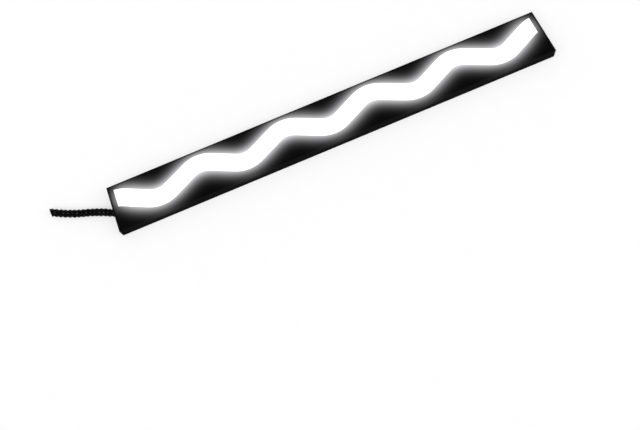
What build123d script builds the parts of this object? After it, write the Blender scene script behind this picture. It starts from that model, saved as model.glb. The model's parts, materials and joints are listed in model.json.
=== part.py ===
from build123d import *
import math
import os

# Daytime running light: a slim black bar with a wavy opal band that glows.
# The lamp lies on its mounting tape. +X runs along the bar away from the cable, +Y runs
# across it towards its upper edge, and +Z comes out of the lit face. Millimetres.

# Bar
BAR_LENGTH = 230.0
BAR_WIDTH = 24.6
DRAFT = 1.5
EDGE_ROUND = 0.8
SHELL_WALL = 1.4
FACE_WALL = 1.3
REBATE_WALL = 0.6
FIT_GAP = 0.1

# Layers, from the mounting surface up to the lit face
TAPE_THICKNESS = 0.8
PLATE_THICKNESS = 1.0
GASKET_THICKNESS = 0.6
PAD_THICKNESS = 0.3
BOARD_THICKNESS = 1.0
REFLECTOR_DEPTH = 2.0
FLANGE_THICKNESS = 0.6
RIDGE_PROUD = 0.4

PLATE_Z = TAPE_THICKNESS
PLATE_TOP = PLATE_Z + PLATE_THICKNESS
REBATE_TOP = PLATE_TOP + GASKET_THICKNESS
BOARD_Z = PLATE_TOP + PAD_THICKNESS
BOARD_TOP = BOARD_Z + BOARD_THICKNESS
FLANGE_Z = BOARD_TOP + REFLECTOR_DEPTH
FACE_BACK = FLANGE_Z + FLANGE_THICKNESS
FACE_Z = FACE_BACK + FACE_WALL

# Tape on the back
TAPE_LENGTH = 212.0
TAPE_WIDTH = 11.0
TAPE_CORNER = 1.5

# Wave: arcs at every crest and trough, joined by straight tangents
WAVE_PERIOD = 45.2
WAVE_RISE = 8.5
WAVE_RADIUS = 12.0
WAVE_SHIFT = 0.5
BAND_WIDTH = 9.2
BAND_HALF_LENGTH = 111.6
LIP = 0.6
LAST_TURN = 5

HALF_PERIOD = WAVE_PERIOD / 2
WAVE_SLOPE = (
    math.asin(2 * WAVE_RADIUS / math.hypot(HALF_PERIOD, 2 * WAVE_RADIUS - WAVE_RISE))
    - math.atan2(2 * WAVE_RADIUS - WAVE_RISE, HALF_PERIOD)
)

# Light sources, the reflector round them and the parts that feed them
LED_COUNT = 30
LED_PITCH = 7.9
LED_LENGTH = 3.5
LED_WIDTH = 2.8
LED_HEIGHT = 0.7
LED_NOTCH = 0.5
REFLECTOR_WALL = 0.8
REFLECTOR_RELIEF = 2.8
TAB_WIDTH = 2.4
TAB_THICKNESS = 0.5
RESISTOR_LENGTH = 3.2
RESISTOR_WIDTH = 1.6
RESISTOR_HEIGHT = 0.55
RESISTOR_STEP = 6.0
RESISTOR_Y = 8.6
DIODE_X = -101.4
DIODE_Y = -8.8
DIODE_LENGTH = 4.3
DIODE_WIDTH = 2.6
DIODE_HEIGHT = 2.0
DIODE_STANDOFF = 0.15
DIODE_TAPER = 6.0
DIODE_TAB_WIDTH = 1.4
DIODE_TAB_LENGTH = 0.5
DIODE_TAB_HEIGHT = 1.0

# Screws and the bosses that take them
BOSS_DIAMETER = 4.2
BOSS_Y = 8.0
BOSS_CLEARANCE = 0.3
BOSS_RIB = 1.0
SCREW_DIAMETER = 1.8
SCREW_HEAD = 3.8
SCREW_LENGTH = 4.3
PILOT_DEPTH = 3.6
RECESS_SPAN = 1.9
RECESS_WIDTH = 0.45
RECESS_DEPTH = 0.6

# Cable exit in the left end wall
WIRE_DIAMETER = 1.5
WIRE_STEP = 2.1
EXIT_Y = -0.9
EXIT_Z = 4.0
NECK_WIDTH = 4.7
NECK_HEIGHT = 2.7
COLLAR_RIM = 0.35
COLLAR_THICKNESS = 0.5
INNER_COLLAR_RIM = 0.3
INNER_COLLAR_THICKNESS = 0.5
SEAT_DEPTH = 0.1
CABLE_ROOM = 3.0
WIRE_BEND = 0.9
NEGATIVE_END = (-107.2, -4.4)
POSITIVE_END = (-108.8, -7.0)
CONDUCTOR_DIAMETER = 0.9
BARE_LENGTH = 1.8
SOLDER_RADIUS = 1.5
SOLDER_HEIGHT = 1.5
SOLDER_TAPER = 30.0
SOLDER_SIDES = 8

# Lead: two wires in a braided sleeve, from the grommet to its bare end
SLEEVE_WALL = 0.25
LEAD_DIAMETER = 2 * WIRE_DIAMETER + 2 * SLEEVE_WALL
SEAT_X = SEAT_DEPTH - BAR_LENGTH / 2
LEAD_START_X = SEAT_X - COLLAR_THICKNESS
LEAD_ROUTE = [
    (LEAD_START_X, EXIT_Y, EXIT_Z),
    (-130.6, 6.6, 2.2),
    (-146.4, 14.1, 1.8),
]
LEAD_ARC_SHARE = 0.45
LEAD_OVERLAP = 2.0

# Outlines derived from the driving sizes
CAVITY_LENGTH = BAR_LENGTH - 2 * SHELL_WALL
CAVITY_WIDTH = BAR_WIDTH - 2 * SHELL_WALL
REBATE_LENGTH = BAR_LENGTH - 2 * REBATE_WALL
REBATE_WIDTH = BAR_WIDTH - 2 * REBATE_WALL
BOARD_WIDTH = CAVITY_WIDTH - 2 * FIT_GAP
BOARD_LEFT = CABLE_ROOM - CAVITY_LENGTH / 2
BOARD_RIGHT = CAVITY_LENGTH / 2 - FIT_GAP
FLANGE_HALF_LENGTH = BAND_HALF_LENGTH + LIP

TROUGHS = [turn * HALF_PERIOD for turn in (-4, -2, 0, 2, 4)]
CRESTS = [turn * HALF_PERIOD for turn in (-3, -1, 1, 3)]
UPPER_BOSSES = [(TROUGHS[0], BOSS_Y), (TROUGHS[-1], BOSS_Y)]
LOWER_BOSSES = [(CRESTS[1], -BOSS_Y), (CRESTS[2], -BOSS_Y)]
BOSSES = UPPER_BOSSES + LOWER_BOSSES
TAB_Y = WAVE_SHIFT + WAVE_RISE / 2 - BAND_WIDTH / 2 - LIP + REFLECTOR_WALL / 2
TAB_POINTS = [(CRESTS[0], TAB_Y), (CRESTS[-1], TAB_Y)]


def finish(builder, name):
    """Label a finished piece and write it out."""
    builder.part.label = name
    export_step(builder.part, f"parts/{name}.step")


def wave_turn(turn, offset):
    """Arc of one crest (odd turns) or trough, on a line beside the wave's centre line."""
    slope = math.degrees(WAVE_SLOPE)
    upward = 1 if turn % 2 else -1
    centre = (turn * HALF_PERIOD, WAVE_SHIFT + upward * (WAVE_RISE / 2 - WAVE_RADIUS))
    return CenterArc(centre, WAVE_RADIUS + upward * offset, upward * 90 - slope, 2 * slope)


def wave_line(offset):
    """Draw a line beside the wave's centre line, and return its left and right ends."""
    ends = []
    for turn in range(-LAST_TURN, LAST_TURN + 1):
        arc = wave_turn(turn, offset)
        left, right = (arc @ 1, arc @ 0) if turn % 2 else (arc @ 0, arc @ 1)
        if ends:
            Line(ends[-1], left)
        ends += [left, right]
    return ends[0], ends[-1]


def wave_band(width, left, right):
    """Face of a given width along the wave, cut square at its left and right ends."""
    with BuildSketch() as band:
        with BuildLine():
            upper_left, upper_right = wave_line(width / 2)
            lower_left, lower_right = wave_line(-width / 2)
            Line(upper_left, lower_left)
            Line(upper_right, lower_right)
        make_face()
        with Locations(((right - left) / 2, 0)):
            Rectangle(left + right, 2 * BAR_WIDTH, mode=Mode.INTERSECT)
    return band.sketch


def led_planes():
    """Planes on the board, one for each light source, turned along the wave."""
    with BuildLine() as centre:
        wave_line(0)
    path = Wire(centre.edges())
    planes = []
    for index in range(LED_COUNT):
        along = path.length / 2 + (index - (LED_COUNT - 1) / 2) * LED_PITCH
        spot = path.position_at(along, position_mode=PositionMode.LENGTH)
        heading = path.tangent_at(along, position_mode=PositionMode.LENGTH)
        rightward = heading if heading.X > 0 else -heading
        planes.append(Plane((spot.X, spot.Y, BOARD_TOP), x_dir=rightward, z_dir=(0, 0, 1)))
    return sorted(planes, key=lambda plane: plane.origin.X)


os.makedirs("parts", exist_ok=True)
LED_PLANES = led_planes()

# Cable exit: a plane on the grommet's seat, facing out of the left end
exit_plane = Plane((SEAT_X, EXIT_Y, EXIT_Z), x_dir=(0, 1, 0), z_dir=(-1, 0, 0))
wire_spots = [(WIRE_STEP / 2, 0), (-WIRE_STEP / 2, 0)]

# Front bezel: a drafted cap with the wavy slot, four screw bosses and the cable hole
with BuildPart() as front_bezel:
    spread = (FACE_Z - PLATE_Z) * math.tan(math.radians(DRAFT))
    with BuildSketch(Plane.XY.offset(PLATE_Z)):
        Rectangle(BAR_LENGTH + 2 * spread, BAR_WIDTH + 2 * spread)
    extrude(amount=FACE_Z - PLATE_Z, taper=DRAFT)
    fillet(front_bezel.faces().sort_by(Axis.Z)[-1].edges(), radius=EDGE_ROUND)
    with BuildSketch(Plane.XY.offset(PLATE_Z)):
        Rectangle(REBATE_LENGTH, REBATE_WIDTH)
    extrude(amount=REBATE_TOP - PLATE_Z, mode=Mode.SUBTRACT)
    with BuildSketch(Plane.XY.offset(REBATE_TOP)):
        Rectangle(CAVITY_LENGTH, CAVITY_WIDTH)
    extrude(amount=FACE_BACK - REBATE_TOP, mode=Mode.SUBTRACT)
    with BuildSketch(Plane.XY.offset(PLATE_TOP)):
        with Locations(*BOSSES):
            Circle(BOSS_DIAMETER / 2)
    extrude(amount=FACE_BACK - PLATE_TOP)
    with BuildSketch(Plane.XY.offset(BOARD_TOP + BOSS_CLEARANCE)):
        for x, y in BOSSES:
            reach = CAVITY_WIDTH / 2 - abs(y)
            with Locations((x, y + math.copysign(reach / 2, y))):
                Rectangle(BOSS_RIB, reach)
    extrude(amount=FACE_BACK - BOARD_TOP - BOSS_CLEARANCE)
    with BuildSketch(Plane.XY.offset(PLATE_TOP)):
        with Locations(*BOSSES):
            Circle(SCREW_DIAMETER / 2)
    extrude(amount=PILOT_DEPTH, mode=Mode.SUBTRACT)
    with BuildSketch(Plane.XY.offset(FACE_BACK)):
        add(wave_band(BAND_WIDTH, BAND_HALF_LENGTH, BAND_HALF_LENGTH))
    extrude(amount=FACE_WALL, mode=Mode.SUBTRACT)
    with BuildSketch(exit_plane):
        SlotOverall(NECK_WIDTH + 2 * COLLAR_RIM, NECK_HEIGHT + 2 * COLLAR_RIM)
    extrude(amount=COLLAR_THICKNESS, mode=Mode.SUBTRACT)
    with BuildSketch(exit_plane):
        SlotOverall(NECK_WIDTH, NECK_HEIGHT)
    extrude(amount=-2 * SHELL_WALL, mode=Mode.SUBTRACT)
finish(front_bezel, "front_bezel")

# Wave diffuser: an opal ridge in the slot, on a flange behind the face
with BuildPart() as wave_diffuser:
    with BuildSketch(Plane.XY.offset(FLANGE_Z)):
        add(wave_band(BAND_WIDTH + 2 * LIP, FLANGE_HALF_LENGTH, FLANGE_HALF_LENGTH))
    extrude(amount=FLANGE_THICKNESS)
    ridge_end = BAND_HALF_LENGTH - FIT_GAP
    with BuildSketch(Plane.XY.offset(FACE_BACK)):
        add(wave_band(BAND_WIDTH - 2 * FIT_GAP, ridge_end, ridge_end))
    extrude(amount=FACE_WALL + RIDGE_PROUD)
finish(wave_diffuser, "wave_diffuser")

# Reflector: a white wall all round the wave, with two tabs that locate it in the board
with BuildPart() as reflector:
    outer_width = BAND_WIDTH + 2 * LIP
    outer_left = FLANGE_HALF_LENGTH - REFLECTOR_RELIEF
    inner_width = outer_width - 2 * REFLECTOR_WALL
    inner_left = outer_left - REFLECTOR_WALL
    inner_right = FLANGE_HALF_LENGTH - REFLECTOR_WALL
    with BuildSketch(Plane.XY.offset(BOARD_TOP)):
        add(wave_band(outer_width, outer_left, FLANGE_HALF_LENGTH))
        add(wave_band(inner_width, inner_left, inner_right), mode=Mode.SUBTRACT)
    extrude(amount=REFLECTOR_DEPTH)
    with BuildSketch(Plane.XY.offset(BOARD_Z)):
        with Locations(*TAB_POINTS):
            Rectangle(TAB_WIDTH, TAB_THICKNESS)
    extrude(amount=BOARD_THICKNESS)
finish(reflector, "reflector")

# Circuit board, with a notch in its edge for each boss and slots for the reflector's tabs
with BuildPart() as circuit_board:
    notch_width = BOSS_DIAMETER + 2 * BOSS_CLEARANCE
    notch_reach = BOARD_WIDTH - 2 * BOSS_Y
    with BuildSketch(Plane.XY.offset(BOARD_Z)):
        with Locations(((BOARD_LEFT + BOARD_RIGHT) / 2, 0)):
            Rectangle(BOARD_RIGHT - BOARD_LEFT, BOARD_WIDTH)
        with Locations(*BOSSES):
            Rectangle(notch_width, notch_reach, mode=Mode.SUBTRACT)
        with Locations(*TAB_POINTS):
            Rectangle(TAB_WIDTH + FIT_GAP, TAB_THICKNESS + FIT_GAP, mode=Mode.SUBTRACT)
    extrude(amount=BOARD_THICKNESS)
finish(circuit_board, "circuit_board")

# Light sources: flat packages with one cut corner, which marks their polarity
for index, plane in enumerate(LED_PLANES, start=1):
    with BuildPart() as led:
        with BuildSketch(plane) as package:
            Rectangle(LED_LENGTH, LED_WIDTH)
            chamfer(package.vertices().group_by(Axis.X)[-1].sort_by(Axis.Y)[-1], length=LED_NOTCH)
        extrude(amount=LED_HEIGHT)
    finish(led, f"led_{index:02d}")

# Resistors, two beside each trough, one for each string of three light sources
resistor_spots = [(x + side * RESISTOR_STEP, RESISTOR_Y) for x in TROUGHS for side in (-1, 1)]
for index, spot in enumerate(resistor_spots, start=1):
    with BuildPart() as resistor:
        with BuildSketch(Plane((*spot, BOARD_TOP))):
            Rectangle(RESISTOR_LENGTH, RESISTOR_WIDTH)
        extrude(amount=RESISTOR_HEIGHT)
    finish(resistor, f"resistor_{index:02d}")

# Polarity diode: a moulded block with a tab at each end
with BuildPart() as polarity_diode:
    diode_plane = Plane((DIODE_X, DIODE_Y, BOARD_TOP))
    with BuildSketch(diode_plane.offset(DIODE_STANDOFF)):
        Rectangle(DIODE_LENGTH, DIODE_WIDTH)
    extrude(amount=DIODE_HEIGHT - DIODE_STANDOFF, taper=DIODE_TAPER)
    with BuildSketch(diode_plane):
        with GridLocations(DIODE_LENGTH, 0, 2, 1):
            Rectangle(2 * DIODE_TAB_LENGTH, DIODE_TAB_WIDTH)
    extrude(amount=DIODE_TAB_HEIGHT)
finish(polarity_diode, "polarity_diode")

# Cable grommet: a neck through the wall, a collar on each side of it and two wire bores
with BuildPart() as cable_grommet:
    with BuildSketch(exit_plane):
        SlotOverall(NECK_WIDTH + 2 * COLLAR_RIM, NECK_HEIGHT + 2 * COLLAR_RIM)
    extrude(amount=COLLAR_THICKNESS)
    inner_wall_x = -CAVITY_LENGTH / 2
    with BuildSketch(exit_plane):
        SlotOverall(NECK_WIDTH, NECK_HEIGHT)
    extrude(amount=SEAT_X - inner_wall_x)
    with BuildSketch(exit_plane.offset(SEAT_X - inner_wall_x)):
        SlotOverall(NECK_WIDTH + 2 * INNER_COLLAR_RIM, NECK_HEIGHT + 2 * INNER_COLLAR_RIM)
    extrude(amount=-INNER_COLLAR_THICKNESS)
    with BuildSketch(exit_plane.offset(COLLAR_THICKNESS)):
        with Locations(*wire_spots):
            Circle(WIRE_DIAMETER / 2)
    extrude(amount=-2 * SHELL_WALL - 2 * COLLAR_THICKNESS, mode=Mode.SUBTRACT)
finish(cable_grommet, "cable_grommet")

# Inner wires, from the grommet's outer face to the board, each with a bare end
wires = []
pads = []
for name, bore_y, cover_end in (
    ("negative_wire", EXIT_Y + WIRE_STEP / 2, NEGATIVE_END),
    ("positive_wire", EXIT_Y - WIRE_STEP / 2, POSITIVE_END),
):
    with BuildPart() as wire:
        with BuildLine() as wire_route:
            Polyline(
                (LEAD_START_X, bore_y, EXIT_Z),
                (WIRE_BEND - CAVITY_LENGTH / 2, bore_y, EXIT_Z),
                (*cover_end, EXIT_Z),
            )
        with BuildSketch(Plane(wire_route.line @ 0, z_dir=wire_route.line % 0)):
            Circle(WIRE_DIAMETER / 2)
        sweep(transition=Transition.RIGHT)
        bare_plane = Plane(wire_route.line @ 1, z_dir=wire_route.line % 1)
        with BuildSketch(bare_plane):
            Circle(CONDUCTOR_DIAMETER / 2)
        extrude(amount=BARE_LENGTH)
    finish(wire, name)
    wires.append(wire.part)
    tip = bare_plane.offset(BARE_LENGTH).origin
    pads.append((tip.X, tip.Y))

# Solder joints: a tapered heap on the board round each bare end
with BuildPart() as solder_joints:
    with BuildSketch(Plane.XY.offset(BOARD_TOP)):
        with Locations(*pads):
            RegularPolygon(SOLDER_RADIUS, SOLDER_SIDES)
    extrude(amount=SOLDER_HEIGHT, taper=SOLDER_TAPER)
    add(wires, mode=Mode.SUBTRACT)
finish(solder_joints, "solder_joints")

# Thermal pad under the board: a strip between the two rows of bosses
with BuildPart() as thermal_pad:
    with BuildSketch(Plane.XY.offset(PLATE_TOP)):
        with Locations(((BOARD_LEFT + BOARD_RIGHT) / 2, 0)):
            Rectangle(BOARD_RIGHT - BOARD_LEFT, TAPE_WIDTH)
    extrude(amount=PAD_THICKNESS)
finish(thermal_pad, "thermal_pad")

# Rear plate, set into the bezel's rebate, with countersunk screw holes
with BuildPart() as rear_plate:
    with BuildSketch(Plane.XY.offset(PLATE_Z)):
        Rectangle(REBATE_LENGTH - 2 * FIT_GAP, REBATE_WIDTH - 2 * FIT_GAP)
    extrude(amount=PLATE_THICKNESS)
    with Locations(*[Plane((x, y, PLATE_Z), z_dir=(0, 0, -1)).location for x, y in BOSSES]):
        CounterSinkHole(SCREW_DIAMETER / 2, SCREW_HEAD / 2, PLATE_THICKNESS, counter_sink_angle=90)
finish(rear_plate, "rear_plate")

# Rear gasket: a ring between the plate and the rebate's step
with BuildPart() as rear_gasket:
    with BuildSketch(Plane.XY.offset(PLATE_TOP)):
        Rectangle(REBATE_LENGTH, REBATE_WIDTH)
        Rectangle(CAVITY_LENGTH, CAVITY_WIDTH, mode=Mode.SUBTRACT)
    extrude(amount=GASKET_THICKNESS)
finish(rear_gasket, "rear_gasket")

# Rear screws: countersunk heads with a cross recess, one group of four
with BuildPart() as rear_screws:
    head_drop = (SCREW_HEAD - SCREW_DIAMETER) / 2
    tip_z = PLATE_Z + SCREW_LENGTH
    with BuildSketch(Plane.XZ):
        with BuildLine():
            Polyline(
                (0, PLATE_Z),
                (SCREW_HEAD / 2, PLATE_Z),
                (SCREW_DIAMETER / 2, PLATE_Z + head_drop),
                (SCREW_DIAMETER / 2, tip_z),
                (0, tip_z),
                close=True,
            )
        make_face()
    screw = revolve(axis=Axis.Z, mode=Mode.PRIVATE)
    with Locations(*BOSSES):
        add(screw)
    with BuildSketch(Plane.XY.offset(PLATE_Z)):
        with Locations(*BOSSES):
            Rectangle(RECESS_SPAN, RECESS_WIDTH)
            Rectangle(RECESS_WIDTH, RECESS_SPAN)
    extrude(amount=RECESS_DEPTH, mode=Mode.SUBTRACT)
finish(rear_screws, "rear_screws")

# Mounting tape on the plate
with BuildPart() as mounting_tape:
    with BuildSketch():
        tape_outline = Rectangle(TAPE_LENGTH, TAPE_WIDTH)
        chamfer(tape_outline.vertices(), length=TAPE_CORNER)
    extrude(amount=TAPE_THICKNESS)
finish(mounting_tape, "mounting_tape")

# Power lead: one plain tube along the lead's route, cut flush with the grommet
lead_points = [Vector(*point) for point in LEAD_ROUTE]
lead_runs = [end - start for start, end in zip(lead_points, lead_points[1:])]
lead_radii = []
for before, after in zip(lead_runs, lead_runs[1:]):
    half_turn = math.radians(before.get_angle(after)) / 2
    lead_radii.append(LEAD_ARC_SHARE * min(before.length, after.length) / math.tan(half_turn))
print("lead radii", [round(radius, 1) for radius in lead_radii])

with BuildPart() as power_lead:
    with BuildLine() as lead_route:
        inside_grommet = lead_points[0] - lead_runs[0].normalized() * LEAD_OVERLAP
        FilletPolyline(inside_grommet, *lead_points[1:], radius=lead_radii)
    with BuildSketch(Plane(lead_route.line @ 0, z_dir=lead_route.line % 0)):
        Circle(LEAD_DIAMETER / 2)
    sweep()
    split(bisect_by=exit_plane.offset(COLLAR_THICKNESS), keep=Keep.TOP)
finish(power_lead, "power_lead")
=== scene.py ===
"""Looks of a daytime running light: its materials, its lead, a floor, soft light and a camera."""
import json
import math

import bpy
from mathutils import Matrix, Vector, noise
from numpy.polynomial.hermite import hermgauss


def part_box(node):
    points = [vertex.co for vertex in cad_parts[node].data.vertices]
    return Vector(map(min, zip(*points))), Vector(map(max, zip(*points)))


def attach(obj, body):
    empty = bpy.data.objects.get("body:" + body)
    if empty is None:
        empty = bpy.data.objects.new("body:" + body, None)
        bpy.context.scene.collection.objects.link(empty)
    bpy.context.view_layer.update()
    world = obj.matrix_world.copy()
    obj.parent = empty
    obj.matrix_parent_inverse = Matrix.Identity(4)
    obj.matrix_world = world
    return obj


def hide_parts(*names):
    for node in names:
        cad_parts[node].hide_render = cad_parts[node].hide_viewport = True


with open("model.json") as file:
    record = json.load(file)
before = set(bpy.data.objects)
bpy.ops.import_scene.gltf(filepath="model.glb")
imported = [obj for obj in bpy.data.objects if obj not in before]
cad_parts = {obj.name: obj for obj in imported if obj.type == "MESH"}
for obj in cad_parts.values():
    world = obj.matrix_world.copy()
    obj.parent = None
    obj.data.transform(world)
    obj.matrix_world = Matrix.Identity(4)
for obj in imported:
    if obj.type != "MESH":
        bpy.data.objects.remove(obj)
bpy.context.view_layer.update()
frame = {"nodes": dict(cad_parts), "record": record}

nodes = frame["nodes"]

# Sizes and places are in millimetres and come to metres by MM
MM = 0.001

# Camera at the photograph's view
CAMERA_PLACE = (-29.08, -150.76, 296.34)
CAMERA_TURN = (19.13, 6.64, -21.78)
CAMERA_LENS = 37.125
CAMERA_NEAR = 10.0

# Lead: its route and size
LEAD_ROUTE = [
    (-115.4, -0.9, 4.0),
    (-122.5, 3.6, 3.0),
    (-137.5, 8.8, 2.2),
    (-146.4, 14.1, 2.15),
]
LEAD_FINENESS = 200
LEAD_SIDES = 144

# Braided sleeve: strands that cross, each of a few filaments, on a round core
SLEEVE_RADIUS = 1.16
STRANDS = 4
STRAND_STEP = 2.4
STRAND_TURN = 0.21
STRAND_CROWN = 0.4
STRAND_WEAVE = 0.42
FILAMENTS = 6
FILAMENT_RIDGE = 0.045
UNEVEN_HEIGHT = 0.11
UNEVEN_SIZE = 1.6
SHARP_ANGLE = 60.0

# Ends of the sleeve: pinched and flush at the grommet, and cut off at a slant
END_SPAN = 3.0
PINCH = 0.12
CUT_ACROSS = 0.72
CUT_DOWN = -0.38

# Bore of the sleeve at the cut, with the covers and the copper strands of the two wires in it
BORE_RADIUS = 1.12
BORE_DEPTH = 0.6
WIRE_PLACE = 0.56
WIRE_SIDES = 20
WIRE_ROOT = -0.7
COVER_RADIUS = 0.55
COVER_REACH = -0.02
CORE_TURNS = 6
CORE_STEP = 0.22
CORE_RADIUS = 0.11
CORE_REACH = 0.1

# Name of what the sleeve's points carry: how far a strand stands out there, about 1 at its crown
CROWN = "crown"

# Painted sheen on the braid: from where to where on its crowns, and in which patches
SHEEN_CROWN = (0.92, 1.05)
SHEEN_SIZE = 2.5
SHEEN_NOISE = (0.44, 0.62)
SHEEN_LEAST = 0.12

# Bare stretch of the inner wires, from the outer corner of each wire's box
BARE_REACH = 2.2

# Lit band: a wave with crests and troughs in turn
WAVE_PERIOD = 45.2
WAVE_SHIFT = 0.5
WAVE_HEIGHT = 4.092
WAVE_THIRD = 0.158
BAND_HALF_WIDTH = 4.6
BAND_SLANT = 0.06

# Painted glow round the band on the black cap: it fades over the face and down the walls, and faces that
# look down have none
GLOW_HALF_LENGTH = 110.9
GLOW_DOWN_WALL = 0.2
GLOW_REACH = 3.72
GLOW_GAIN = 2.25
GLOW_POWER = 1.76
GLOW_TINT = (0.985, 0.975, 1.0, 1.0)
GLOW_SAMPLES = 5
GLOW_FACING = (-0.5, -0.1)
EDGE_SLOPE = 0.85

# Rim at the face's upper edge and its ends, where the painted glow fades out, from the cap's box inwards
RIM_SPAN = (0.5, 1.7)
RIM_LEAST = 0.05

# Parts on the board: upward share of a face that parts sides from tops, and an LED dish's soft edge
SIDE_FACING = 0.5
DISH_EDGE = (0.34, 0.3)

# Texture of the finishes: middle range of the noise, patches of colour, and swing of the roughness
NOISE_RANGE = (0.3, 0.7)
NOISE_DETAIL = 4.0
CLOUD_SIZE = 9.0
STREAK_SIZE = 0.35
CELL_SIZE = 0.45
PLASTIC_SWING = 0.06
METAL_SWING = 0.08

# Floor: pale, a little lifted towards white where it is seen
FLOOR_HALF = 4000.0
FLOOR_LIFT = 0.52

# Light: a pale world and two broad soft lamps far away, by their directions and powers
WORLD_LEVEL = 0.45
LAMPS = [
    ("key", (-0.35, -0.25, 0.65), 1.25),
    ("fill", (0.45, -0.35, 0.5), 0.7),
]
LAMP_SPREAD = 50.0


def grey(level, blue=0.0):
    """A grey colour, with a little more blue where that is given."""
    return (level, level, level + blue, 1.0)


# Colours that several finishes share
WIRE_DARK = grey(0.0008)
WIRE_LIGHT = grey(0.0014)
COPPER_DARK = (0.5, 0.19, 0.075, 1.0)
COPPER_LIGHT = (0.66, 0.29, 0.13, 1.0)


class Shader:
    """A material's node tree, with short calls for the nodes that it needs."""

    def __init__(self, name):
        self.material = bpy.data.materials.new(name)
        self.material.use_nodes = True
        self.tree = self.material.node_tree
        self.surface = self.tree.nodes["Principled BSDF"]
        self.coordinates = self.tree.nodes.new("ShaderNodeTexCoord")

    def link(self, value, socket):
        """Set a socket to a plain value, or join it to another node's output."""
        if isinstance(value, bpy.types.NodeSocket):
            self.tree.links.new(value, socket)
        else:
            socket.default_value = value

    def set(self, **values):
        """Set the surface's own sockets, by their names with _ for a space."""
        for name, value in values.items():
            self.link(value, self.surface.inputs[name.replace("_", " ")])

    def math(self, operation, *values):
        """Result of a math node."""
        node = self.tree.nodes.new("ShaderNodeMath")
        node.operation = operation
        for value, socket in zip(values, node.inputs):
            self.link(value, socket)
        return node.outputs[0]

    def split(self, vector):
        """X, Y and Z of a vector."""
        node = self.tree.nodes.new("ShaderNodeSeparateXYZ")
        self.link(vector, node.inputs[0])
        return node.outputs

    def place(self):
        """X, Y and Z of the shaded point in millimetres."""
        axes = self.split(self.coordinates.outputs["Object"])
        return [self.math("MULTIPLY", axis, 1 / MM) for axis in axes]

    def facing(self):
        """X, Y and Z of the surface's outward direction."""
        return self.split(self.coordinates.outputs["Normal"])

    def part_place(self):
        """X, Y and Z within the piece's own box, each from 0 to 1."""
        return self.split(self.coordinates.outputs["Generated"])

    def attribute(self, name):
        """A number that the mesh carries at its points."""
        node = self.tree.nodes.new("ShaderNodeAttribute")
        node.attribute_name = name
        return node.outputs["Fac"]

    def stretched(self, x, y, z):
        """The shaded point's place, scaled along each axis."""
        node = self.tree.nodes.new("ShaderNodeMapping")
        self.link(self.coordinates.outputs["Object"], node.inputs["Vector"])
        node.inputs["Scale"].default_value = (x, y, z)
        return node.outputs[0]

    def noise(self, size, detail=3.0, vector=None):
        """Soft noise whose patches are about size millimetres across."""
        node = self.tree.nodes.new("ShaderNodeTexNoise")
        self.link(vector or self.coordinates.outputs["Object"], node.inputs["Vector"])
        node.inputs["Scale"].default_value = 1 / (size * MM)
        node.inputs["Detail"].default_value = detail
        return node.outputs["Fac"]

    def cells(self, size):
        """Distance from the middle of round cells about size millimetres across."""
        node = self.tree.nodes.new("ShaderNodeTexVoronoi")
        self.link(self.coordinates.outputs["Object"], node.inputs["Vector"])
        node.inputs["Scale"].default_value = 1 / (size * MM)
        return node.outputs["Distance"]

    def reach(self, x, y):
        """Distance of a point that is x and y away."""
        return self.math("SQRT", self.math("MULTIPLY_ADD", x, x, self.math("MULTIPLY", y, y)))

    def spread(self, value, low, high, start=0.0, end=1.0, smooth=False):
        """Bring a value from the range low to high into the range start to end."""
        node = self.tree.nodes.new("ShaderNodeMapRange")
        node.interpolation_type = "SMOOTHSTEP" if smooth else "LINEAR"
        self.link(value, node.inputs["Value"])
        limits = {"From Min": low, "From Max": high, "To Min": start, "To Max": end}
        for name, limit in limits.items():
            node.inputs[name].default_value = limit
        return node.outputs["Result"]

    def swing(self, texture, middle, swing):
        """A value that follows a noise texture, to either side of its middle."""
        return self.spread(texture, *NOISE_RANGE, middle - swing, middle + swing)

    def mix(self, share, first, second):
        """A colour between two, by a share from 0 to 1."""
        node = self.tree.nodes.new("ShaderNodeMix")
        node.data_type = "RGBA"
        self.link(share, node.inputs["Factor"])
        # The node's sockets for colours come after those for numbers and vectors
        for value, socket in zip((first, second), (node.inputs[6], node.inputs[7])):
            self.link(value, socket)
        return node.outputs[2]

    def bump(self, height, depth):
        """Raise the surface by a height from 0 to 1, of depth millimetres."""
        node = self.tree.nodes.new("ShaderNodeBump")
        node.inputs["Distance"].default_value = depth * MM
        self.link(height, node.inputs["Height"])
        self.link(node.outputs[0], self.surface.inputs["Normal"])


def plastic(name, dark, light, grain, roughness, gloss, depth=0.02):
    """Moulded plastic or rubber: cloudy colour, fine grain, and gloss that varies with the grain."""
    shader = Shader(name)
    clouds = shader.noise(CLOUD_SIZE)
    texture = shader.noise(grain, detail=NOISE_DETAIL)
    shader.set(
        Base_Color=shader.mix(clouds, dark, light),
        Roughness=shader.swing(texture, roughness, PLASTIC_SWING),
        Specular_IOR_Level=gloss,
    )
    shader.bump(texture, depth)
    return shader


def metal(name, dark, light, roughness, brush, depth=0.008):
    """Metal with a fine grain, drawn out along the bar where brush is below 1."""
    shader = Shader(name)
    streaks = shader.noise(STREAK_SIZE, detail=NOISE_DETAIL, vector=shader.stretched(brush, 1.0, 1.0))
    shader.set(
        Base_Color=shader.mix(streaks, dark, light),
        Metallic=1.0,
        Roughness=shader.swing(streaks, roughness, METAL_SWING),
    )
    shader.bump(streaks, depth)
    return shader


def soft_step(shader, distance):
    """A step from 0 to 1 that is as soft as the glow reaches."""
    rise = shader.math("TANH", shader.math("MULTIPLY", distance, EDGE_SLOPE / GLOW_REACH))
    return shader.math("MULTIPLY_ADD", rise, 0.5, 0.5)


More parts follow.
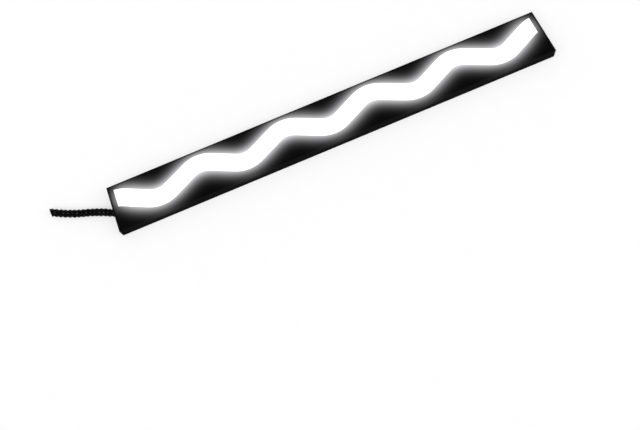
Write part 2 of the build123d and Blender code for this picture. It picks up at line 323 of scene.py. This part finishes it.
def band_share(shader, along, across, step):
    """Share of the lit band above and below a point, at a step along the bar."""
    rate = 2 * math.pi / WAVE_PERIOD
    turn = shader.math("MULTIPLY_ADD", along, rate, rate * step - math.pi)
    waves = [shader.math("COSINE", shader.math("MULTIPLY", turn, times)) for times in (1.0, 2.0, 3.0)]
    first = shader.math("MULTIPLY", waves[0], WAVE_HEIGHT)
    third = shader.math("MULTIPLY", waves[2], WAVE_THIRD)
    middle = shader.math("ADD", shader.math("ADD", first, third), WAVE_SHIFT)
    slant = -BAND_HALF_WIDTH * BAND_SLANT
    half = shader.math("MULTIPLY_ADD", waves[1], slant, BAND_HALF_WIDTH * (1 + BAND_SLANT))
    offset = shader.math("SUBTRACT", middle, across)
    upper = soft_step(shader, shader.math("ADD", offset, half))
    lower = soft_step(shader, shader.math("SUBTRACT", offset, half))
    return shader.math("SUBTRACT", upper, lower)


def black_cap():
    """Satin black plastic, with a painted glow round the slot that is given to it as emission."""
    shader = plastic("black_cap", grey(0.001), grey(0.002, 0.0002), grain=0.5, roughness=0.65, gloss=0.02)
    along, across, up = shader.place()
    half_length, half_width, face = (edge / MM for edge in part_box("front_bezel")[1])
    from_end = shader.math("SUBTRACT", half_length, shader.math("ABSOLUTE", along))
    from_edge = shader.math("MINIMUM", from_end, shader.math("SUBTRACT", half_width, across))
    rim = shader.spread(from_edge, *RIM_SPAN, start=RIM_LEAST, smooth=True)
    depth = shader.math("SUBTRACT", face, up)
    drop = shader.math("MULTIPLY", shader.math("MULTIPLY", depth, depth), GLOW_DOWN_WALL)
    across = shader.math("MULTIPLY", across, shader.math("MULTIPLY_ADD", drop, 1 / half_width, 1.0))
    # Painted glow: the lit band's wave blurred over the cap, faded towards the ends and given as emission
    painted_glow = 0.0
    places, weights = hermgauss(GLOW_SAMPLES)
    for place, weight in zip(places, weights / weights.sum()):
        share = band_share(shader, along, across, place * math.sqrt(2) * GLOW_REACH)
        painted_glow = shader.math("MULTIPLY_ADD", share, weight, painted_glow)
    past_end = shader.math("SUBTRACT", GLOW_HALF_LENGTH, shader.math("ABSOLUTE", along))
    past_end = shader.math("SUBTRACT", past_end, drop)
    painted_glow = shader.math("MULTIPLY", painted_glow, soft_step(shader, past_end))
    painted_glow = shader.math("MULTIPLY", shader.math("POWER", painted_glow, GLOW_POWER), GLOW_GAIN)
    outside = shader.math("MULTIPLY", shader.spread(shader.facing()[2], *GLOW_FACING), rim)
    level = shader.math("MULTIPLY", painted_glow, outside)
    shader.set(Emission_Color=shader.mix(level, grey(0.0), GLOW_TINT), Emission_Strength=1.0)
    return shader.material


def opal_band():
    """Opal plastic lit from behind, with a light that varies a little."""
    shader = plastic("opal_band", grey(0.5), grey(0.58), grain=0.8, roughness=0.35, gloss=0.4, depth=0.01)
    shader.set(
        Emission_Color=shader.mix(shader.noise(size=6.0), grey(0.96), grey(1.0)),
        Emission_Strength=1.0,
    )
    return shader.material


def circuit_board():
    """White coated board, with the grey core at its edges."""
    dark = grey(0.74)
    light = grey(0.8)
    shader = plastic("white_board", dark, light, grain=0.6, roughness=0.4, gloss=0.5, depth=0.01)
    side = shader.math("LESS_THAN", shader.math("ABSOLUTE", shader.facing()[2]), SIDE_FACING)
    coat = shader.mix(shader.noise(size=5.0), dark, light)
    shader.set(Base_Color=shader.mix(side, coat, (0.34, 0.35, 0.3, 1.0)))
    return shader.material


def led_package():
    """White package with a round yellow dish in its upper face."""
    dark = grey(0.72)
    light = grey(0.8)
    shader = plastic("led_package", dark, light, grain=0.3, roughness=0.4, gloss=0.5, depth=0.006)
    x, y, _ = shader.part_place()
    reach = shader.reach(shader.math("SUBTRACT", x, 0.5), shader.math("SUBTRACT", y, 0.5))
    dish = shader.spread(reach, *DISH_EDGE, smooth=True)
    top = shader.math("GREATER_THAN", shader.facing()[2], SIDE_FACING)
    body = shader.mix(shader.noise(size=0.8), dark, light)
    yellow = shader.mix(shader.noise(size=0.2), (0.78, 0.52, 0.05, 1.0), (0.9, 0.66, 0.1, 1.0))
    shader.set(Base_Color=shader.mix(shader.math("MULTIPLY", dish, top), body, yellow))
    return shader.material


def chip(name, dark, light, end_share):
    """Black chip with bright solder on its two ends, each a share of its length."""
    shader = plastic(name, dark, light, grain=0.3, roughness=0.45, gloss=0.4, depth=0.006)
    from_middle = shader.math("ABSOLUTE", shader.math("SUBTRACT", shader.part_place()[0], 0.5))
    bright = shader.math("GREATER_THAN", from_middle, 0.5 - end_share)
    body = shader.mix(shader.noise(size=0.8), dark, light)
    shader.set(Base_Color=shader.mix(bright, body, grey(0.66)), Metallic=bright)
    return shader.material


def thermal_sheet():
    """Soft grey-blue pad."""
    dark = (0.25, 0.31, 0.38, 1.0)
    light = (0.3, 0.37, 0.44, 1.0)
    return plastic("thermal_sheet", dark, light, grain=0.25, roughness=0.7, gloss=0.3).material


def foam_tape():
    """Dark closed-cell foam."""
    shader = plastic("foam_tape", grey(0.012), grey(0.02), grain=0.8, roughness=0.75, gloss=0.25)
    shader.bump(shader.cells(CELL_SIZE), depth=0.08)
    return shader.material


def wire_cover(name):
    """Black flexible cover, satin, with a fine grain."""
    return plastic(name, WIRE_DARK, WIRE_LIGHT, grain=0.35, roughness=0.6, gloss=0.03, depth=0.03)


def braid():
    """Black braid, with painted sheen that greys it in patches where its strands stand proud."""
    shader = wire_cover("braid")
    crown = shader.spread(shader.attribute(CROWN), *SHEEN_CROWN)
    sheen_patch = shader.spread(shader.noise(SHEEN_SIZE), *SHEEN_NOISE, start=SHEEN_LEAST, smooth=True)
    body = shader.mix(shader.noise(CLOUD_SIZE), WIRE_DARK, WIRE_LIGHT)
    # Painted sheen: the strands' crowns greyed in noisy patches, in place of highlights
    shader.set(Base_Color=shader.mix(shader.math("MULTIPLY", crown, sheen_patch), body, grey(0.06)))
    return shader.material


def inner_wire(node):
    """Black wire cover, with bare copper where the wire ends on the board."""
    shader = wire_cover(node)
    low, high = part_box(node)
    x, y, _ = shader.place()
    reach = shader.reach(shader.math("SUBTRACT", x, high[0] / MM), shader.math("SUBTRACT", y, low[1] / MM))
    bare = shader.math("LESS_THAN", reach, BARE_REACH)
    body = shader.mix(shader.noise(CLOUD_SIZE), WIRE_DARK, WIRE_LIGHT)
    strands = shader.mix(shader.noise(STREAK_SIZE), COPPER_DARK, COPPER_LIGHT)
    shader.set(Base_Color=shader.mix(bare, body, strands), Metallic=bare)
    return shader.material


def copper():
    """Bare copper strands."""
    return metal("copper_core", COPPER_DARK, COPPER_LIGHT, roughness=0.35, brush=1.0).material


def white_reflector():
    """Matt white plastic."""
    shader = plastic("white_reflector", grey(0.78), grey(0.85), grain=0.6, roughness=0.6, gloss=0.4)
    return shader.material


def rubber(name, dark, light, gloss):
    """Soft black rubber."""
    return plastic(name, dark, light, grain=0.4, roughness=0.7, gloss=gloss).material


def show(name, data):
    """Put new data into the scene as an object."""
    piece = bpy.data.objects.new(name, data)
    bpy.context.scene.collection.objects.link(piece)
    return piece


def make_camera():
    """A camera at the photograph's view."""
    lens = bpy.data.cameras.new("camera")
    lens.lens = CAMERA_LENS
    lens.clip_start = CAMERA_NEAR * MM
    camera = show("camera", lens)
    camera.location = Vector(CAMERA_PLACE) * MM
    camera.rotation_euler = [math.radians(turn) for turn in CAMERA_TURN]
    bpy.context.scene.camera = camera


def smooth_route(points):
    """Points along the smooth NURBS line that has the route's points as its control points."""
    curve = bpy.data.curves.new("lead_route", "CURVE")
    curve.dimensions = "3D"
    spline = curve.splines.new("NURBS")
    spline.points.add(len(points) - 1)
    for control, point in zip(spline.points, points):
        control.co = (*(Vector(point) * MM), 1.0)
    spline.order_u = 3
    spline.use_endpoint_u = True
    spline.resolution_u = LEAD_FINENESS
    holder = bpy.data.objects.new("lead_route", curve)
    line = bpy.data.meshes.new_from_object(holder)
    places = [vertex.co.copy() for vertex in line.vertices]
    bpy.data.objects.remove(holder)
    bpy.data.curves.remove(curve)
    bpy.data.meshes.remove(line)
    return places


def strand_height(angle, run):
    """Height of the braid: strands that lean both ways and pass over and under each other in turn."""
    turned = STRAND_TURN + STRANDS * angle / (2 * math.pi)
    along = run / (STRAND_STEP * MM)
    heights = []
    for lean in (1, -1):
        own = turned + lean * along
        strand = round(own)
        offset = 2 * (own - strand)
        crown = math.sqrt(max(0.0, 1 - offset ** 2))
        ridge = abs(math.sin(FILAMENTS * math.pi / 2 * (offset + 1)))
        weave = lean * math.cos(math.pi * (turned - lean * along + strand))
        heights.append(STRAND_CROWN * crown + FILAMENT_RIDGE * ridge + STRAND_WEAVE * weave)
    return max(heights)


def add_rings(faces, first, rings, sides):
    """Close a tube of vertex rings with side faces and two ends."""
    for ring in range(rings - 1):
        for step in range(sides):
            following = (step + 1) % sides
            low = first + ring * sides
            high = low + sides
            faces.append((low + step, low + following, high + following, high + step))
    last = first + (rings - 1) * sides
    faces.append(tuple(reversed(range(first, first + sides))))
    faces.append(tuple(range(last, last + sides)))


def wire_ends():
    """Place across and up, radius, reach and material slot of all that shows in the cut."""
    ends = []
    for sign in (1, -1):
        middle = sign * WIRE_PLACE
        ends.append((middle, 0.0, COVER_RADIUS, COVER_REACH, 0))
        ends.append((middle, 0.0, CORE_RADIUS, CORE_REACH, 1))
        for turn in range(CORE_TURNS):
            angle = 2 * math.pi * turn / CORE_TURNS
            across = middle + CORE_STEP * math.cos(angle)
            ends.append((across, CORE_STEP * math.sin(angle), CORE_RADIUS, CORE_REACH, 1))
    return ends


def make_lead(places, materials):
    """The braided sleeve, flush with the grommet at one end and cut off with its wires at the other."""
    vertices = []
    crowns = []
    faces = []
    runs = [0.0]
    for before, after in zip(places, places[1:]):
        runs.append(runs[-1] + (after - before).length)
    angles = [2 * math.pi * step / LEAD_SIDES for step in range(LEAD_SIDES)]
    side = Vector((0.0, 0.0, 1.0))
    for index, (place, run) in enumerate(zip(places, runs)):
        heading = (places[min(index + 1, len(places) - 1)] - places[max(index - 1, 0)]).normalized()
        side = (side - heading * side.dot(heading)).normalized()
        other = heading.cross(side)
        flush = max(0.0, 1 - run / (END_SPAN * MM))
        slant = max(0.0, 1 - (runs[-1] - run) / (END_SPAN * MM))
        for angle in angles:
            arm = side * math.cos(angle) + other * math.sin(angle)
            cut = CUT_ACROSS * math.sin(angle) + CUT_DOWN * math.cos(angle)
            lean = slant * cut - flush * arm.x / heading.x
            height = strand_height(angle, run + lean * SLEEVE_RADIUS * MM)
            uneven = UNEVEN_HEIGHT * noise.noise((place + arm * SLEEVE_RADIUS * MM) / (UNEVEN_SIZE * MM))
            radius = (SLEEVE_RADIUS + height + uneven) * (1 - PINCH * flush)
            vertices.append(place + (arm + heading * lean) * radius * MM)
            crowns.append(height / (STRAND_CROWN + STRAND_WEAVE))

    def at_cut(across, up, reach):
        """Point at a place across and up the cut, and so far along the lead from it."""
        forward = CUT_ACROSS * across + CUT_DOWN * up + reach
        return places[-1] + (other * across + side * up + heading * forward) * MM

    for reach in (0.0, -BORE_DEPTH):
        for angle in angles:
            vertices.append(at_cut(BORE_RADIUS * math.sin(angle), BORE_RADIUS * math.cos(angle), reach))
    add_rings(faces, 0, len(places) + 2, LEAD_SIDES)
    slots = [0] * len(faces)
    for across, up, radius, proud, slot in wire_ends():
        first = len(vertices)
        for reach in (WIRE_ROOT, proud):
            for step in range(WIRE_SIDES):
                angle = 2 * math.pi * step / WIRE_SIDES
                spot = (across + radius * math.sin(angle), up + radius * math.cos(angle))
                vertices.append(at_cut(*spot, reach))
        add_rings(faces, first, 2, WIRE_SIDES)
        slots += [slot] * (len(faces) - len(slots))
    mesh = bpy.data.meshes.new("braided_lead")
    mesh.from_pydata(vertices, [], faces)
    mesh.polygons.foreach_set("use_smooth", [True] * len(faces))
    mesh.polygons.foreach_set("material_index", slots)
    mesh.set_sharp_from_angle(angle=math.radians(SHARP_ANGLE))
    mesh.update()
    crowns += [0.0] * (len(vertices) - len(crowns))
    mesh.attributes.new(CROWN, "FLOAT", "POINT").data.foreach_set("value", crowns)
    for material in materials:
        mesh.materials.append(material)
    return show("braided_lead", mesh)


def dress_nodes(sleeve):
    """Give each CAD node the finish of its material slot in the record."""
    finishes = {
        "black_cap": black_cap(),
        "opal_band": opal_band(),
        "white_reflector": white_reflector(),
        "white_board": circuit_board(),
        "led_package": led_package(),
        "resistor_body": chip("resistor_body", grey(0.004), grey(0.012), end_share=0.16),
        "diode_body": chip("diode_body", grey(0.003), grey(0.01), end_share=0.12),
        "wire_cover": sleeve,
        "solder": metal("solder", grey(0.5), grey(0.68), roughness=0.3, brush=1.0).material,
        "thermal_sheet": thermal_sheet(),
        "back_plate": metal("back_plate", grey(0.42), grey(0.6, 0.01), roughness=0.4, brush=0.02).material,
        "seal": rubber("seal", grey(0.005), grey(0.01), gloss=0.25),
        "screw_steel": metal("screw_steel", grey(0.34), grey(0.5, 0.01), roughness=0.35, brush=1.0).material,
        "foam_tape": foam_tape(),
        "grommet_rubber": rubber("grommet_rubber", grey(0.003), grey(0.006), gloss=0.1),
    }
    slot_of = {row["node"]: row["material_slot"] for row in frame["record"]["subparts"]}
    for name, node in nodes.items():
        node.data.materials.clear()
        node.data.materials.append(finishes[slot_of[name]])
    for name in ("positive_wire", "negative_wire"):
        nodes[name].data.materials[0] = inner_wire(name)


def seen(tree):
    """1 where a surface is seen, straight or in a reflection or through glass, and otherwise 0."""
    path = tree.nodes.new("ShaderNodeLightPath").outputs
    result = path["Is Camera Ray"]
    for other in ("Is Glossy Ray", "Is Transmission Ray"):
        either = tree.nodes.new("ShaderNodeMath")
        either.operation = "MAXIMUM"
        tree.links.new(result, either.inputs[0])
        tree.links.new(path[other], either.inputs[1])
        result = either.outputs[0]
    return result


def make_floor():
    """A pale floor, which keeps the shadow."""
    shader = plastic("floor", grey(0.5), grey(0.52), grain=40.0, roughness=0.8, gloss=0.1, depth=0.0)
    shader.set(
        Emission_Color=grey(1.0),
        Emission_Strength=shader.math("MULTIPLY", seen(shader.tree), FLOOR_LIFT),
    )
    half = FLOOR_HALF * MM
    corners = [(-half, -half, 0.0), (half, -half, 0.0), (half, half, 0.0), (-half, half, 0.0)]
    mesh = bpy.data.meshes.new("floor")
    mesh.from_pydata(corners, [], [(0, 1, 2, 3)])
    mesh.materials.append(shader.material)
    return show("floor", mesh)


def make_light():
    """A world that is white where it is seen, and the two lamps."""
    world = bpy.data.worlds.new("world")
    world.use_nodes = True
    tree = world.node_tree
    background = tree.nodes["Background"]
    background.inputs["Color"].default_value = grey(1.0)
    level = tree.nodes.new("ShaderNodeMapRange")
    level.inputs["To Min"].default_value = WORLD_LEVEL
    tree.links.new(seen(tree), level.inputs["Value"])
    tree.links.new(level.outputs["Result"], background.inputs["Strength"])
    bpy.context.scene.world = world
    for name, direction, power in LAMPS:
        light = bpy.data.lights.new(name, "SUN")
        light.angle = math.radians(LAMP_SPREAD)
        light.energy = power
        lamp = show(name, light)
        lamp.location = direction
        lamp.rotation_euler = (-lamp.location).to_track_quat("-Z", "Y").to_euler()


make_camera()

# Lead: it stands for the plain tube, and its sleeve's material is the record's wire_cover
sleeve = braid()
lead_places = smooth_route(LEAD_ROUTE)
lead = make_lead(lead_places, [sleeve, copper()])
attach(lead, "root")
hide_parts("power_lead")

dress_nodes(sleeve)
floor = make_floor()
make_light()
bpy.context.scene.view_settings.view_transform = "Standard"
